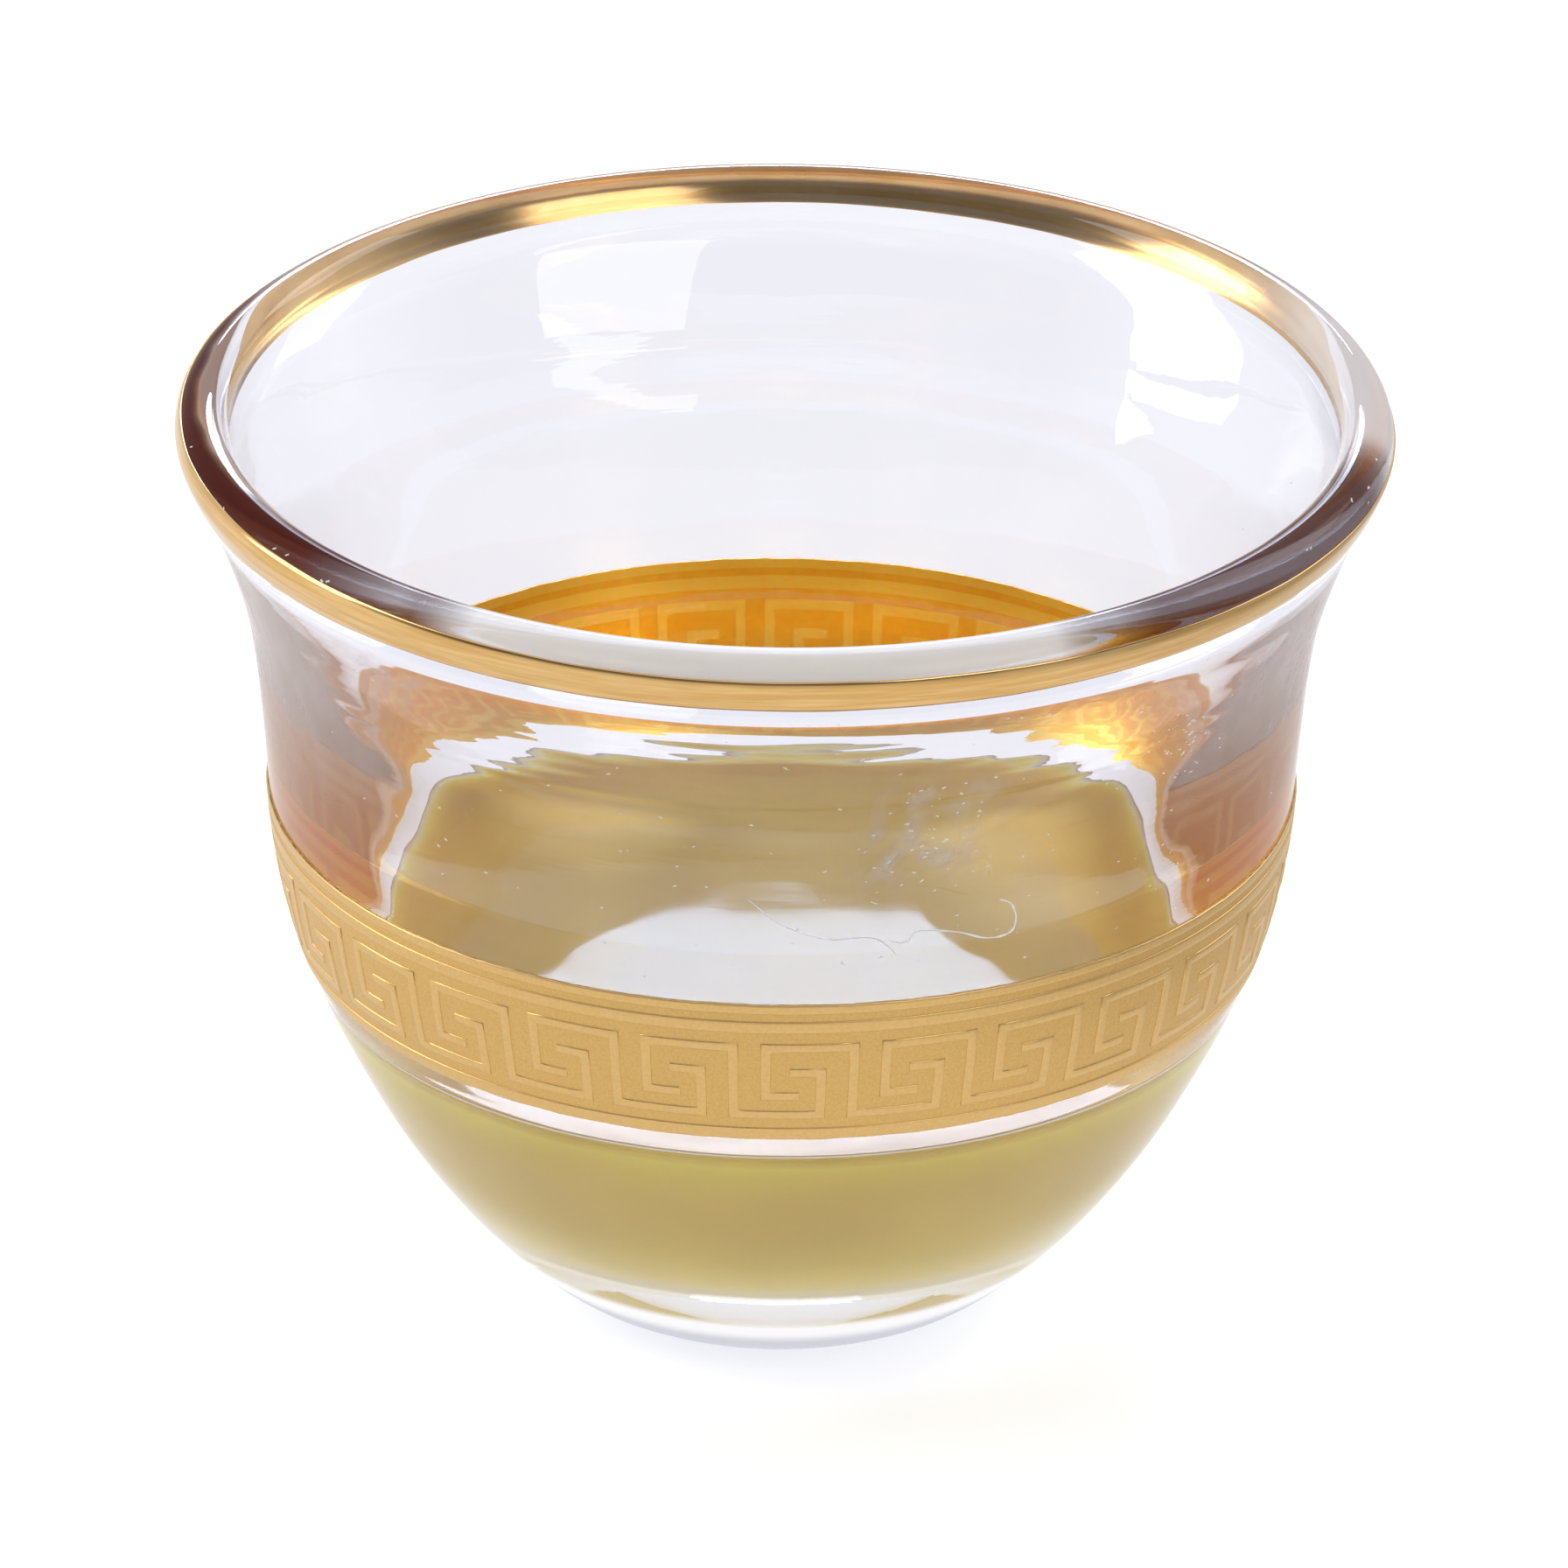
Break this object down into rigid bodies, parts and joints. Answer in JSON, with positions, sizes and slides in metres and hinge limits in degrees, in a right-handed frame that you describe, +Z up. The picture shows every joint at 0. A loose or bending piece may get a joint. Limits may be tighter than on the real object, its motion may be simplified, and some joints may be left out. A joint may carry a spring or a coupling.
{
  "type": "arabic coffee cup",
  "caption": "Small handle-less glass coffee cup: flared round lip, deep tapering bowl, small flat foot, gilded lip and a gilded band with a raised key pattern.",
  "frame": {"origin": "centre of the foot, on the surface the cup stands on", "axes": "+Z up along the cup's axis, out of the mouth; -Y faces the picture's camera, +X to its right"},
  "size_m": [0.0642, 0.0642, 0.051],
  "materials": {
    "clear_glass": "clear pressed glass, fire-polished",
    "bright_gold": "bright fired gold",
    "matt_gold": "matt fired gold on etched glass",
    "satin_gold": "satin fired gold, raised lines"
  },
  "bodies": {
    "root": {"glass_body": "clear_glass", "rim_gilding": "bright_gold", "band_ground": "matt_gold", "upper_border_lines": "satin_gold", "lower_border_line": "satin_gold", "key_meander": "satin_gold"}
  },
  "joints": []
}
